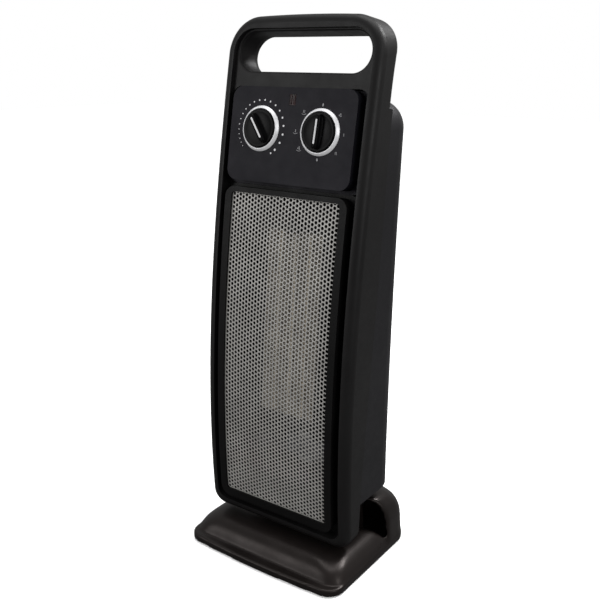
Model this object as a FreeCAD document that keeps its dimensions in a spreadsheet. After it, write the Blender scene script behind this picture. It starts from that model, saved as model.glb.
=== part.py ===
import FreeCAD, Part
import Sketcher
import math
import os
import re

from FreeCAD import Placement, Rotation, Vector

# A tower-shaped ceramic fan heater on a swinging base, in millimetres.
# Origin: centre of the footprint, on the floor. +Z up, the air outlet and the knobs face -Y.
# "down" is arc length along the bowed front, measured downwards from the middle of the grille.
# "out" is the distance in front of the grille sheet, along the outward normal.

SIZES = [
    ("base_width", 174, "footprint across"),
    ("base_depth", 138, "footprint front to back"),
    ("base_bow", 4, "how far the front edge bulges"),
    ("base_corner", 16, "footprint corner radius"),
    ("skirt_low", 1, "underside of the skirt"),
    ("skirt_top", 8, "top of the skirt"),
    ("ledge_width", 11, "flat step along the front of the skirt"),
    ("deck_height", 24.4, "top of the low deck under the grille end"),
    ("turret_height", 56, "top of the raised rear of the base"),
    ("turret_side", 86.8, "half width of the raised rear at its foot"),
    ("turret_back", 68.8, "back of the raised rear at its foot"),
    ("turret_clear", 25.6, "front of the raised rear, from the swing axis"),
    ("swing_limit", 30, "swing to each side, degrees"),
    ("base_wall", 2.5, "wall of the base cover"),
    ("plate_low", 3, "underside of the base plate"),
    ("plate_thick", 2.5, "base plate thickness"),
    ("foot_radius", 7, "rubber foot radius"),
    ("foot_x", 66, "rubber foot position across"),
    ("foot_y", 48, "rubber foot position front to back"),
    ("pivot_y", 12, "swing axis, behind the origin"),
    ("spindle_radius", 9, "swing spindle radius"),
    ("spindle_bore", 6, "cable passage radius in the spindle"),
    ("spindle_play", 0.06, "radial running clearance of the spindle"),
    ("bearing_outer", 24, "swing bearing ring outer radius"),
    ("bearing_inner", 19, "swing bearing ring inner radius"),
    ("bearing_thick", 2.8, "swing bearing ring thickness"),
    ("disc_radius", 25, "swing disc radius"),
    ("crank_reach", 25, "swing axis to crank axis"),
    ("crank_throw", 14.3, "crank axis to crank pin"),
    ("pin_radius", 2.5, "crank pin radius"),
    ("slot_play", 0.8, "clearance beside the crank pin"),
    ("lever_low", 36, "underside of the swing lever"),
    ("lever_thick", 3, "swing lever thickness"),
    ("crank_low", 30, "underside of the crank"),
    ("crank_thick", 3, "crank thickness"),
    ("swing_motor_radius", 21, "swing gear motor radius"),
    ("swing_motor_low", 12, "underside of the swing gear motor"),
    ("swing_motor_tall", 16, "swing gear motor height"),
    ("front_y", -37, "middle of the grille sheet, front to back"),
    ("front_z", 200, "middle of the grille sheet above the floor"),
    ("lean_mid", 3.3, "lean of the grille at its middle, degrees"),
    ("lean_rate", 0.04235, "loss of lean per millimetre downwards, degrees"),
    ("lean_growth", 0.00005319, "growth of that loss, degrees per square millimetre"),
    ("frame_half", 80.5, "front frame half width"),
    ("frame_top", 300.5, "top of the handle, up from the grille middle"),
    ("frame_foot", 171.2, "lower end of the frame, down from the grille middle"),
    ("frame_arch", 2.5, "rise of the handle's top in its middle"),
    ("frame_top_corner", 34, "frame corner radius at the handle, in front"),
    ("frame_rear_corner", 25, "frame corner radius at the handle, behind"),
    ("frame_foot_corner", 15, "frame corner radius at the foot"),
    ("rim_round", 8, "rounding of the frame's front edge"),
    ("rim_half", 71.2, "half width inside the rim"),
    ("rim_top", 288, "inside of the rim above the hand hole"),
    ("rim_foot", 161, "inside of the rim at the foot"),
    ("rim_corner", 20, "rim inside corner radius at the handle"),
    ("handle_round", 7, "rounding of the handle's rear edges"),
    ("handle_foot", 227, "where that rounding ends, up from the grille middle"),
    ("field_depth", 4, "depth of the surface round the hand hole"),
    ("groove_depth", 12.6, "depth of the groove round the panel and grille"),
    ("ledge_half", 66, "half width of the opening through the frame"),
    ("ledge_thick", 2.9, "thickness of the ledge behind the groove"),
    ("frame_wall", 3.5, "side wall of the frame"),
    ("cavity_top", 245, "top of the hollow in the frame"),
    ("cavity_foot", 128, "foot of the hollow in the frame"),
    ("hole_mouth", 67.8, "hand hole half width in front"),
    ("hole_half", 64.6, "hand hole half width behind"),
    ("hole_mouth_deep", 7, "depth at which the hand hole begins to narrow"),
    ("hole_neck_deep", 22, "depth at which it is narrowest"),
    ("hole_top", 286, "top of the hand hole"),
    ("hole_foot", 252, "foot of the hand hole"),
    ("hole_corner", 16.9, "hand hole corner radius"),
    ("mouth_round", 1.6, "rounding of the hand hole's front edge"),
    ("neck_round", 2.5, "rounding of the hand hole's rear edge"),
    ("seam_handle", 31, "frame depth at the handle"),
    ("seam_shoulder", 27, "frame depth at the top of the casing"),
    ("seam_upper", 34, "frame depth at the top of the grille"),
    ("seam_middle", 36, "frame depth at the middle"),
    ("seam_lower", 31, "frame depth low on the grille"),
    ("seam_foot", 19, "frame depth at the foot"),
    ("shoulder_at", 232, "where the shoulder depth is measured, up from the grille middle"),
    ("middle_at", 43, "where the middle depth is measured, up from the grille middle"),
    ("lower_at", 60, "where the lower depth is measured, down from the grille middle"),
    ("seam_gap", 0.4, "parting line between frame and casing"),
    ("casing_half", 80, "rear casing half width"),
    ("casing_low", 70, "underside of the rear casing"),
    ("casing_high", 427.5, "top of the rear casing"),
    ("casing_back_low", 53, "back of the casing at its foot"),
    ("casing_back_mid", 54, "back of the casing at mid height"),
    ("casing_back_high", 62, "back of the casing at its top"),
    ("casing_corner", 28, "rear corner radius of the casing"),
    ("casing_crown", 24, "rounding of the casing's top"),
    ("casing_wall", 3, "casing wall"),
    ("post_radius", 4, "casing screw post radius"),
    ("well_radius", 4.2, "casing screw well radius"),
    ("well_deep", 12, "casing screw well depth"),
    ("slot_width", 52, "air inlet slot width"),
    ("slot_tall", 3.6, "air inlet slot height"),
    ("slot_pitch", 8, "air inlet slot spacing"),
    ("slot_first", 132, "lowest air inlet slot"),
    ("slot_rows", 24, "air inlet slots in a column"),
    ("panel_half", 64.8, "control panel and grille frame half width"),
    ("panel_proud", 1.8, "how far the panel stands ahead of the grille sheet"),
    ("panel_top", 238.4, "top of the control panel"),
    ("panel_foot", 156.6, "foot of the control panel"),
    ("panel_corner", 10, "panel corner radius"),
    ("panel_wall", 2.5, "panel thickness"),
    ("panel_slit", 0.8, "gap between the frame and the panel's top edge"),
    ("flange_half", 70.6, "half width of the flange in the groove"),
    ("flange_out", -10, "front of the flange"),
    ("flange_thick", 2.4, "flange thickness"),
    ("bezel_top", 150.8, "top of the grille frame"),
    ("bezel_foot", 154.6, "foot of the grille frame"),
    ("mesh_half", 57.6, "visible half width of the grille sheet"),
    ("mesh_reach", 146, "visible half height of the grille sheet"),
    ("mesh_tuck", 2.4, "how far the sheet runs under its frame"),
    ("mesh_thick", 0.8, "grille sheet thickness"),
    ("knob_down", -202.6, "knob centres along the front"),
    ("knob_x", 31, "knob centres across"),
    ("knob_radius", 16.4, "knob skirt radius"),
    ("knob_skirt", 3, "knob skirt thickness"),
    ("knob_gap", 0.6, "gap between knob and panel"),
    ("grip_tall", 4, "height of the finger grip on the skirt"),
    ("grip_wide", 8, "finger grip width"),
    ("grip_long", 29, "finger grip length"),
    ("bezel_radius", 19.6, "silver ring outer radius"),
    ("bezel_inner", 17, "silver ring inner radius"),
    ("bezel_proud", 2.6, "silver ring height"),
    ("shaft_radius", 3, "knob shaft radius"),
    ("shaft_play", 0.06, "radial running clearance of the knob shafts"),
    ("lens_down", -228, "indicator lens along the front"),
    ("lens_wide", 7, "indicator lens width"),
    ("lens_tall", 9.4, "indicator lens height"),
    ("bracket_out", -14, "front of the control bracket"),
    ("bracket_thick", 1.5, "control bracket thickness"),
    ("heater_down", -28, "middle of the heating element along the front"),
    ("heater_out", -31, "middle of the heating element behind the grille"),
    ("heater_wide", 60, "heating element width"),
    ("heater_tall", 174, "heating element height"),
    ("heater_thick", 14, "heating element depth"),
    ("stone_thick", 2.4, "ceramic strip thickness"),
    ("baffle_half", 73, "half width of the baffle round the heating element"),
    ("baffle_thick", 2, "baffle thickness"),
    ("baffle_rise", 30, "how much further the baffle reaches above the element than below it"),
    ("fan_y", 30, "fan axis, behind the origin"),
    ("fan_low", 128, "lower end of the fan wheel"),
    ("fan_tall", 184, "fan wheel length"),
    ("fan_radius", 17, "fan wheel radius"),
    ("fan_shaft", 2.5, "fan shaft radius"),
    ("shaft_fit", 0.05, "radial running clearance of the fan shaft"),
    ("blade_count", 20, "fan blades"),
    ("blade_deep", 5, "fan blade depth"),
    ("blade_thick", 1, "fan blade thickness"),
    ("scroll_gap", 1.5, "gap between fan wheel and air guide"),
    ("scroll_thick", 1.5, "air guide wall"),
    ("core_low", 84, "underside of the fan motor core"),
    ("core_tall", 20, "fan motor core height"),
    ("core_wide", 62, "fan motor core width"),
    ("core_deep", 36, "fan motor core depth"),
    ("core_shift", 11, "middle of the core beside the fan axis"),
    ("leg_wide", 13, "width of the core leg that carries the coil"),
    ("brace_wide", 146, "width of the cross braces of fan and motor"),
    ("rotor_radius", 12.5, "fan motor rotor radius"),
    ("air_gap", 0.5, "gap between rotor and core"),
    ("screw_radius", 1.5, "screw shank radius"),
    ("screw_head", 3, "screw head radius"),
    ("plunger_radius", 2.5, "tip-over plunger radius"),
    ("plunger_x", 56, "tip-over switch position across"),
    ("plunger_y", -20, "tip-over switch position front to back"),
    ("plunger_rest", 0.2, "plunger tip above the floor"),
]

# Screw positions: across and front to back under the base, across and height on the casing.
BASE_SCREWS = [(-46, -32), (46, -32), (-50, 38), (50, 38)]
CASING_SCREWS = [(-68, 100), (68, 100), (-68, 395), (68, 395)]

# The base in levels: height above the floor, and how far that level steps in from the foot.
DECK_LEVELS = [(8, 0), (11, 0.8), (14, 2.2), (17, 4.3), (19.5, 6.9), (21.8, 10.3), (23.5, 14),
               (24.4, 18)]
TURRET_LEVELS = [(8, 0.2), (20, 0.8), (30, 1.2), (36, 2), (41, 3.4), (45, 4.9), (48.5, 7),
                 (51.5, 9.8), (53.6, 12.8), (55, 16), (55.8, 19.5), (56, 23)]

doc = FreeCAD.newDocument("tower_heater")
sheet = doc.addObject("Spreadsheet::Sheet", "sizes")
for row, (alias, value, note) in enumerate(SIZES, start=1):
    sheet.set("A%d" % row, note)
    sheet.set("B%d" % row, repr(value))
    sheet.setAlias("B%d" % row, alias)
doc.recompute()

ALIASES = {alias for alias, value, note in SIZES}
NODES = []


def size(alias):
    """A driving dimension, read back from the sheet."""
    return float(sheet.get(alias))


def bound(formula):
    """The same formula with each alias pointing at the sheet."""
    return re.sub(r"[a-z][a-z_]*", lambda word: "sizes." + word.group(0)
                  if word.group(0) in ALIASES else word.group(0), str(formula))


def node(item, label):
    """Mark an object as a piece of the heater with its own file."""
    item.Label = label
    NODES.append(item)
    return item


# ---- primitives and booleans bound to the sheet -------------------------------------------

TURNS = {
    "z": Rotation(),
    "x": Rotation(Vector(0, 1, 0), 90),
    "y": Rotation(Vector(1, 0, 0), -90),
}


def place(item, at, turn=None):
    """Give an object its turn and a base point of three formulas."""
    item.Placement = Placement(Vector(), turn or Rotation())
    for letter, formula in zip("xyz", at):
        item.setExpression("Placement.Base." + letter, bound(formula))
    return item


def block(name, spans, centre):
    """A box: spans across, deep, tall; centre across and deep, then its underside."""
    item = doc.addObject("Part::Box", name)
    for prop, formula in zip(("Length", "Width", "Height"), spans):
        item.setExpression(prop, bound(formula))
    wide, deep, tall = spans
    x, y, z = centre
    return place(item, ("(%s)-(%s)/2" % (x, wide), "(%s)-(%s)/2" % (y, deep), z))


def rod(name, radius, length, at, axis="z"):
    """A cylinder that starts at a point and runs along one axis."""
    item = doc.addObject("Part::Cylinder", name)
    item.setExpression("Radius", bound(radius))
    item.setExpression("Height", bound(length))
    return place(item, at, TURNS[axis])


def cone(name, low_radius, high_radius, tall, at):
    """An upright cone frustum."""
    item = doc.addObject("Part::Cone", name)
    item.setExpression("Radius1", bound(low_radius))
    item.setExpression("Radius2", bound(high_radius))
    item.setExpression("Height", bound(tall))
    return place(item, at)


def join(name, items):
    """Fuse a list of objects, or gather separate solids into one group."""
    item = doc.addObject("Part::MultiFuse", name)
    item.Shapes = items
    return item


def cut(name, body, tools):
    """Take one or more objects away from a body."""
    item = doc.addObject("Part::Cut", name)
    item.Base = body
    item.Tool = tools[0] if len(tools) == 1 else join(name + "_tools", tools)
    return item


def ring(name, outer, inner, tall, at):
    """A flat ring."""
    x, y, z = at
    body = rod(name + "_disc", outer, tall, at)
    bore = rod(name + "_bore", inner, "(%s)+2" % tall, (x, y, "(%s)-1" % z))
    return cut(name, body, [bore])


def shaped(name, shape):
    """Hold a shape that was worked out from the sheet's sizes."""
    item = doc.addObject("Part::Feature", name)
    item.Shape = shape
    return item


# ---- sketched bodies ----------------------------------------------------------------------


def new_body(name):
    return doc.addObject("PartDesign::Body", name)


def sketch_in(body, name, lift="0"):
    """A sketch on the body's own XY plane, lifted by a formula."""
    plane = [item for item in body.Origin.OriginFeatures if item.Role == "XY_Plane"][0]
    sketch = body.newObject("Sketcher::SketchObject", name)
    sketch.AttachmentSupport = (plane, [""])
    sketch.MapMode = "FlatFace"
    sketch.setExpression("AttachmentOffset.Base.z", bound(lift))
    return sketch


def measure(sketch, kind, *where, formula):
    """Add a dimension to a sketch and bind it to the sheet."""
    index = sketch.addConstraint(Sketcher.Constraint(kind, *where, 1.0))
    sketch.setExpression("Constraints[%d]" % index, bound(formula))


def sketch_circle(sketch, radius, x="0", y="0"):
    """A circle whose centre may lie on any side of the sketch origin."""
    index = sketch.addGeometry(Part.Circle(Vector(1, 1, 0), Vector(0, 0, 1), 1))
    measure(sketch, "Radius", index, formula=radius)
    measure(sketch, "DistanceX", -1, 1, index, 3, formula=x)
    measure(sketch, "DistanceY", -1, 1, index, 3, formula=y)


def sketch_rectangle(sketch, wide, deep, x="0", y="0"):
    """A rectangle given by its spans and its middle."""
    corners = [Vector(0, 0, 0), Vector(2, 0, 0), Vector(2, 2, 0), Vector(0, 2, 0)]
    first = sketch.GeometryCount
    for number in range(4):
        sketch.addGeometry(Part.LineSegment(corners[number], corners[(number + 1) % 4]))
    for number in range(4):
        nearest = first + (number + 1) % 4
        sketch.addConstraint(Sketcher.Constraint("Coincident", first + number, 2, nearest, 1))
    for number, kind in enumerate(("Horizontal", "Vertical", "Horizontal", "Vertical")):
        sketch.addConstraint(Sketcher.Constraint(kind, first + number))
    measure(sketch, "DistanceX", first, 1, first, 2, formula=wide)
    measure(sketch, "DistanceY", first + 1, 1, first + 1, 2, formula=deep)
    measure(sketch, "DistanceX", -1, 1, first, 1, formula="(%s)-(%s)/2" % (x, wide))
    measure(sketch, "DistanceY", -1, 1, first, 1, formula="(%s)-(%s)/2" % (y, deep))


def pad(body, sketch, tall):
    feature = body.newObject("PartDesign::Pad", sketch.Name + "_pad")
    feature.Profile = sketch
    feature.setExpression("Length", bound(tall))
    return feature


def pocket(body, sketch):
    """Cut the sketch through the whole body."""
    feature = body.newObject("PartDesign::Pocket", sketch.Name + "_pocket")
    feature.Profile = sketch
    feature.Type = "ThroughAll"
    feature.Midplane = True
    return feature


# ---- the bowed front ----------------------------------------------------------------------


def lean(down):
    """Lean of the front from the vertical, in radians."""
    degrees = size("lean_mid") - size("lean_rate") * down - size("lean_growth") * down ** 2
    return math.radians(degrees)


def front_point(down, out=0.0):
    """A point on the bowed front, or in front of it."""
    steps = 24
    step = down / steps
    y = size("front_y")
    z = size("front_z")
    for number in range(steps):
        angle = lean((number + 0.5) * step)
        y -= math.sin(angle) * step
        z -= math.cos(angle) * step
    angle = lean(down)
    return Vector(0, y - out * math.cos(angle), z + out * math.sin(angle))


def front_placement(down, out, x=0.0, spin=0.0):
    """Local Z points out of the front, local Y up along it; spin turns clockwise as seen."""
    point = front_point(down, out)
    tilt = Rotation(Vector(1, 0, 0), 90 - math.degrees(lean(down)))
    return Placement(Vector(x, point.y, point.z), tilt * Rotation(Vector(0, 0, 1), -spin))


def curve(points):
    spline = Part.BSplineCurve()
    spline.interpolate(points)
    return spline.toShape()


def stations(top, foot, count=9):
    return [top + (foot - top) * number / (count - 1) for number in range(count)]


def curved_slab(top, foot, front, back, half):
    """The space between two offsets of the bowed front, from side to side."""
    downs = stations(top, foot)
    near = [front_point(down, front(down)) for down in downs]
    far = [front_point(down, back(down)) for down in downs]
    ends = [Part.makeLine(near[-1], far[-1]), Part.makeLine(far[0], near[0])]
    wire = Part.Wire([curve(near), ends[0], curve(far), ends[1]])
    face = Part.Face(wire)
    face.translate(Vector(-half, 0, 0))
    return face.extrude(Vector(2 * half, 0, 0))


def plain_slab(top, foot, front, back, half, corner=0.0):
    """A curved slab of even thickness with four rounded corners."""
    slab = curved_slab(top, foot, lambda down: front, lambda down: back, half)
    if not corner:
        return slab
    edges = corner_edges(slab, half, True) + corner_edges(slab, half, False)
    return slab.makeFillet(corner, edges)


def corner_edges(shape, half, upper):
    """The two edges through the thickness at the upper or lower corners."""
    middle = shape.BoundBox.Center.z
    found = []
    for edge in shape.Edges:
        ends = [vertex.Point for vertex in edge.Vertexes]
        if len(ends) < 2 or abs(abs(ends[0].x) - half) > 0.01 or abs(ends[0].x - ends[1].x) > 0.01:
            continue
        through = abs(ends[0].y - ends[1].y) > abs(ends[0].z - ends[1].z)
        if through and (edge.CenterOfMass.z > middle) == upper:
            found.append(edge)
    return found


def round_corners(shape, half):
    """Round the frame's corners; those at the handle get tighter towards the back."""
    radii = [size("frame_top_corner"), size("frame_rear_corner")]
    rounded = shape
    for side in (-1, 1):
        edge = [edge for edge in corner_edges(rounded, half, True) if edge.CenterOfMass.x * side > 0][0]
        ends = [edge.valueAt(edge.FirstParameter).y, edge.valueAt(edge.LastParameter).y]
        front_first = ends[0] < ends[1]
        start, end = radii if front_first else radii[::-1]
        rounded = rounded.makeFillet(start, end, [edge])
    return rounded.makeFillet(size("frame_foot_corner"), corner_edges(rounded, half, False))


def arched_limit(half):
    """A wide round disc whose edge is the arched top of the handle."""
    rise = size("frame_arch")
    radius = (half ** 2 + rise ** 2) / (2 * rise)
    disc = Part.makeCylinder(radius, 4 * half, Vector(0, -radius, -2 * half))
    disc.Placement = front_placement(-size("frame_top"), 0.0)
    return disc


def seam_depth(down):
    """Depth of the frame behind the grille sheet, blended between six stations."""
    table = [
        (-size("frame_top"), size("seam_handle")),
        (-size("shoulder_at"), size("seam_shoulder")),
        (-size("cavity_foot"), size("seam_upper")),
        (-size("middle_at"), size("seam_middle")),
        (size("lower_at"), size("seam_lower")),
        (size("frame_foot"), size("seam_foot")),
    ]
    for (high, start), (low, end) in zip(table, table[1:]):
        if down <= low + 1e-6:
            share = (down - high) / (low - high)
            smooth = share * share * (3 - 2 * share)
            return start + (end - start) * smooth
    return table[-1][1]


def make_front_frame():
    """The band that carries the handle: a rounded rim round a stepped opening."""
    half = size("frame_half")
    body = frame_blank(half)
    front = size("panel_proud") + 4
    groove = -size("groove_depth")
    behind = groove - size("ledge_thick")
    recess = plain_slab(-size("panel_top") - size("panel_slit"), size("rim_foot"), front, groove,
                        size("rim_half"), size("panel_corner"))
    field = curved_slab(-size("rim_top"), -size("panel_top") + 20,
                        lambda down: front, lambda down: -size("field_depth"), size("rim_half"))
    field = field.makeFillet(size("rim_corner"), corner_edges(field, size("rim_half"), True))
    opening = plain_slab(-size("panel_top") + 2, size("cavity_foot"), groove + 1, -60,
                         size("ledge_half"), 6)
    cavity = plain_slab(-size("cavity_top"), size("cavity_foot"), behind, -60,
                        half - size("frame_wall"))
    frame = body.cut([recess, field, opening, cavity, hand_hole_solid()])
    posts, pilots = casing_posts()
    frame = frame.fuse(posts).cut(pilots)
    mouth = hand_hole_edges(frame, lambda down: -size("field_depth"))
    frame = frame.makeFillet(size("mouth_round"), mouth)
    neck = hand_hole_edges(frame, lambda down: -seam_depth(down))
    return frame.makeFillet(size("neck_round"), neck)


def casing_posts():
    """Posts on the frame's ledge that reach back to the casing's screw wells, and their bores."""
    posts = []
    pilots = []
    for x, z in CASING_SCREWS:
        down = along_front(Vector(0, size("front_y"), z))[0]
        root = front_point(down, -size("groove_depth") - 2).y
        tip = back_point(z).y - size("well_deep") - 0.2
        along = Vector(0, 1, 0)
        posts.append(Part.makeCylinder(size("post_radius"), tip - root, Vector(x, root, z), along))
        pilots.append(Part.makeCylinder(size("screw_radius"), 14, Vector(x, tip - 13, z), along))
    return posts, pilots


def frame_blank(half):
    """The band before its hollows: round in front, and round behind along the handle."""
    slab = curved_slab(-size("frame_top") - 1, size("frame_foot"),
                       lambda down: 0.0, lambda down: -seam_depth(down), half)
    slab = round_corners(slab.common(arched_limit(half)).Solids[0], half)
    rim = [edge for edge in slab.Edges if lies_at(edge, lambda down: 0.0)]
    body = slab.makeFillet(size("rim_round"), rim)
    rear = [edge for edge in body.Edges if lies_at(edge, lambda down: -seam_depth(down))]
    upper = [edge for edge in rear if edge.CenterOfMass.z > size("front_z")]
    handle = body.makeFillet(size("handle_round"), upper)
    above = Part.makeBox(4 * half, 2 * half, 4 * half, Vector(-2 * half, 0, -2 * half))
    above.Placement = front_placement(-size("handle_foot"), 0.0)
    return handle.common(above).fuse(body.cut(above)).removeSplitter()


def hand_hole_solid():
    """A slot with round ends that narrows towards the back."""
    tall = (size("hole_top") - size("hole_foot")) / 2
    levels = [(size("hole_mouth"), size("rim_round")),
              (size("hole_mouth"), -size("hole_mouth_deep")),
              (size("hole_half"), -size("hole_neck_deep")),
              (size("hole_half"), -3 * size("hole_neck_deep"))]
    wires = [rounded_outline(half, -tall, tall, size("hole_corner"), out)
             for half, out in levels]
    solid = Part.makeLoft(wires, True, True)
    solid.Placement = front_placement(-(size("hole_top") + size("hole_foot")) / 2, 0.0)
    return solid


def hand_hole_edges(frame, level):
    """The edges of the hand hole that lie at one depth."""
    inside = size("hole_mouth") + 0.5
    return [edge for edge in frame.Edges
            if edge.BoundBox.XMax < inside and edge.BoundBox.XMin > -inside
            and -size("hole_top") - 1 < along_front(edge.CenterOfMass)[0] < -size("hole_foot") + 1
            and lies_at(edge, level)]


def along_front(point):
    """How far down the front a point is, and how far out of it."""
    down = size("front_z") - point.z
    for turn in range(6):
        offset = point - front_point(down)
        angle = lean(down)
        down -= offset.y * math.sin(angle) + offset.z * math.cos(angle)
    offset = point - front_point(down)
    angle = lean(down)
    return down, offset.z * math.sin(angle) - offset.y * math.cos(angle)


def lies_at(edge, level):
    """True if an edge keeps to a given distance out of the front."""
    for parameter in stations(edge.FirstParameter, edge.LastParameter, 5):
        down, out = along_front(edge.valueAt(parameter))
        if abs(out - level(down)) > 1:
            return False
    return True


def back_point(z, inset=0.0):
    """The back of the casing: nearly upright, leaning back towards the top."""
    low = size("casing_back_low")
    mid = size("casing_back_mid")
    high = size("casing_back_high")
    share = (z - size("casing_low")) / (size("casing_high") - size("casing_low"))
    y = low + (4 * mid - 3 * low - high) * share + 2 * (low + high - 2 * mid) * share ** 2
    return Vector(0, y - inset, z)


def casing_solid(inset, seam_out):
    """The casing's outside, or the same inset by the wall and run further forward."""
    half = size("casing_half") - inset
    low = size("casing_low") + inset
    high = size("casing_high") - inset
    downs = stations(-size("frame_top"), size("frame_foot"))
    near = [front_point(down, -seam_depth(down) + seam_out) for down in downs]
    levels = stations(near[0].z, near[-1].z, 7)
    far = [back_point(z, inset) for z in levels]
    wire = Part.Wire([curve(near), Part.makeLine(near[-1], far[-1]), curve(far),
                      Part.makeLine(far[0], near[0])])
    face = Part.Face(wire)
    face.translate(Vector(-half, 0, 0))
    slab = face.extrude(Vector(2 * half, 0, 0))
    limits = Part.makeBox(400, 400, high - low, Vector(-200, -200, low))
    body = slab.common(limits).Solids[0]
    upright = [edge for edge in body.Edges if rear_upright(edge, half, low, high)]
    body = body.makeFillet(size("casing_corner") - inset, upright)
    crown = [edge for edge in body.Edges if crown_edge(edge, high)]
    return body.makeFillet(size("casing_crown") - inset, crown)


def rear_upright(edge, half, low, high):
    middle = edge.valueAt((edge.FirstParameter + edge.LastParameter) / 2)
    tall = edge.BoundBox.ZLength > 0.9 * (high - low)
    return tall and abs(abs(middle.x) - half) < 0.01 and middle.y > size("fan_y")


def crown_edge(edge, high):
    box = edge.BoundBox
    flat = box.ZLength < 0.01 and abs(box.ZMax - high) < 0.01
    return flat and not (box.YLength < 0.01 and box.YMax < size("fan_y"))


def make_rear_casing():
    """The rear shell, open to the front, with a floor for the swing disc."""
    outer = casing_solid(0.0, -size("seam_gap"))
    inner = casing_solid(size("casing_wall"), 12.0)
    tools = [inner]
    for number in range(int(size("slot_rows"))):
        z = size("slot_first") + number * size("slot_pitch")
        for side in (-1, 1):
            start = Vector(side * size("slot_width") / 2 + side * 2 - size("slot_width") / 2, 30, z)
            tools.append(Part.makeBox(size("slot_width"), 60, size("slot_tall"), start))
    tools.append(Part.makeCylinder(size("spindle_bore"), 12,
                                   Vector(0, size("pivot_y"), size("casing_low") - 4)))
    wells = []
    for x, z in CASING_SCREWS:
        floor_y = back_point(z).y - size("well_deep")
        boss = Part.makeCylinder(size("well_radius") + 1.5, size("well_deep"),
                                 Vector(x, floor_y, z), Vector(0, 1, 0))
        wells.append(boss.common(outer))
        tools.append(Part.makeCylinder(size("well_radius"), size("well_deep"),
                                       Vector(x, floor_y + 2, z), Vector(0, 1, 0)))
        tools.append(Part.makeCylinder(size("screw_radius") + 0.2, 6,
                                       Vector(x, floor_y - 2, z), Vector(0, 1, 0)))
    shell = outer.cut(tools[:1])
    return shell.fuse(wells).cut(tools[1:])


def panel_hole(radius, down, x, deep=30):
    hole = Part.makeCylinder(radius, deep, Vector(0, 0, -deep + 6))
    hole.Placement = front_placement(down, 0.0, x)
    return hole


def make_control_panel():
    proud = size("panel_proud")
    back = size("flange_out") - size("flange_thick")
    wall = size("panel_wall")
    face = plain_slab(-size("panel_top"), -size("panel_foot"), proud, size("flange_out") - 1,
                      size("panel_half"), size("panel_corner"))
    gap_half = (size("panel_foot") + size("bezel_top")) / 2
    flange = plain_slab(-size("panel_top") - size("panel_slit") / 2, -gap_half - 0.1, size("flange_out"), back,
                        size("flange_half"), size("panel_corner"))
    hollow = plain_slab(-size("panel_top") + wall, -size("panel_foot") - wall, proud - wall,
                        back - 1, size("panel_half") - wall, size("panel_corner") - wall)
    window = Part.makeBox(size("lens_wide"), size("lens_tall"), 30,
                          Vector(-size("lens_wide") / 2, -size("lens_tall") / 2, -20))
    window.Placement = front_placement(size("lens_down"), 0.0)
    holes = [panel_hole(size("shaft_radius") + 1, size("knob_down"), side * size("knob_x"))
             for side in (-1, 1)]
    return face.fuse(flange).cut([hollow, window] + holes).removeSplitter()


def make_grille_frame():
    proud = size("panel_proud")
    back = size("flange_out") - size("flange_thick")
    gap_half = (size("panel_foot") + size("bezel_top")) / 2
    face = plain_slab(-size("bezel_top"), size("bezel_foot"), proud, size("flange_out") - 1,
                      size("panel_half"), size("panel_corner"))
    flange = plain_slab(-gap_half + 0.1, size("rim_foot") - 0.6, size("flange_out"), back,
                        size("flange_half"), size("panel_corner"))
    sight = plain_slab(-size("mesh_reach"), size("mesh_reach"), proud + 1, -1,
                       size("mesh_half"), 3)
    seat_half = size("mesh_half") + size("mesh_tuck") + 0.2
    seat_reach = size("mesh_reach") + size("mesh_tuck") + 0.2
    seat = plain_slab(-seat_reach, seat_reach, 0.0, back - 1, seat_half)
    return face.fuse(flange).cut([sight, seat]).removeSplitter()


def make_grille_mesh():
    """The perforated sheet, plain here: its holes are small next to its size."""
    reach = size("mesh_reach") + size("mesh_tuck")
    return plain_slab(-reach, reach, 0.0, -size("mesh_thick"),
                      size("mesh_half") + size("mesh_tuck"))


# ---- the base -----------------------------------------------------------------------------


def footprint_wire(inset, front_step, z):
    """The footprint with its bowed front, inset all round and stepped back in front."""
    half = size("base_width") / 2 - inset
    back = size("base_depth") / 2 - inset
    front = -back + front_step
    bow = size("base_bow")
    left = Vector(-half, front + bow, z)
    right = Vector(half, front + bow, z)
    lines = [
        Part.Arc(left, Vector(0, front, z), right).toShape(),
        Part.makeLine(right, Vector(half, back, z)),
        Part.makeLine(Vector(half, back, z), Vector(-half, back, z)),
        Part.makeLine(Vector(-half, back, z), left),
    ]
    return Part.Wire(lines)


def upright_prism(wire, tall, corner):
    prism = Part.Face(wire).extrude(Vector(0, 0, tall))
    upright = [edge for edge in prism.Edges if abs(edge.BoundBox.ZLength - tall) < 0.01]
    return prism.makeFillet(corner, upright)


def rounded_outline(half, front, back, corner, z):
    """A rectangle with round corners, as one wire."""
    corners = [Vector(-half, front, z), Vector(half, front, z),
               Vector(half, back, z), Vector(-half, back, z)]
    edges = []
    for number, point in enumerate(corners):
        before = (corners[number - 1] - point).normalize() * corner
        after = (corners[(number + 1) % 4] - point).normalize() * corner
        bulge = (before + after) * (1 - math.sqrt(0.5))
        edges.append(Part.Arc(point + before, point + bulge, point + after).toShape())
        following = corners[(number + 1) % 4]
        reach = (following - point).normalize() * corner
        edges.append(Part.makeLine(point + after, following - reach))
    return Part.Wire(edges)


def deck_solid(inset):
    """The low domed part, from the skirt up to the flat deck under the grille end."""
    half = size("base_width") / 2 - 1 - inset
    front = -size("base_depth") / 2 + size("ledge_width") + inset
    back = size("base_depth") / 2 - 1 - inset
    wires = []
    for z, step in DECK_LEVELS:
        corner = size("base_corner") + 0.4 * step
        low = size("skirt_top") - size("base_wall")
        level = z - inset if z > size("skirt_top") or not inset else low
        wires.append(rounded_outline(half - step, front + step, back - 0.1 * step, corner, level))
    return Part.makeLoft(wires, True, True)


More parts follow.
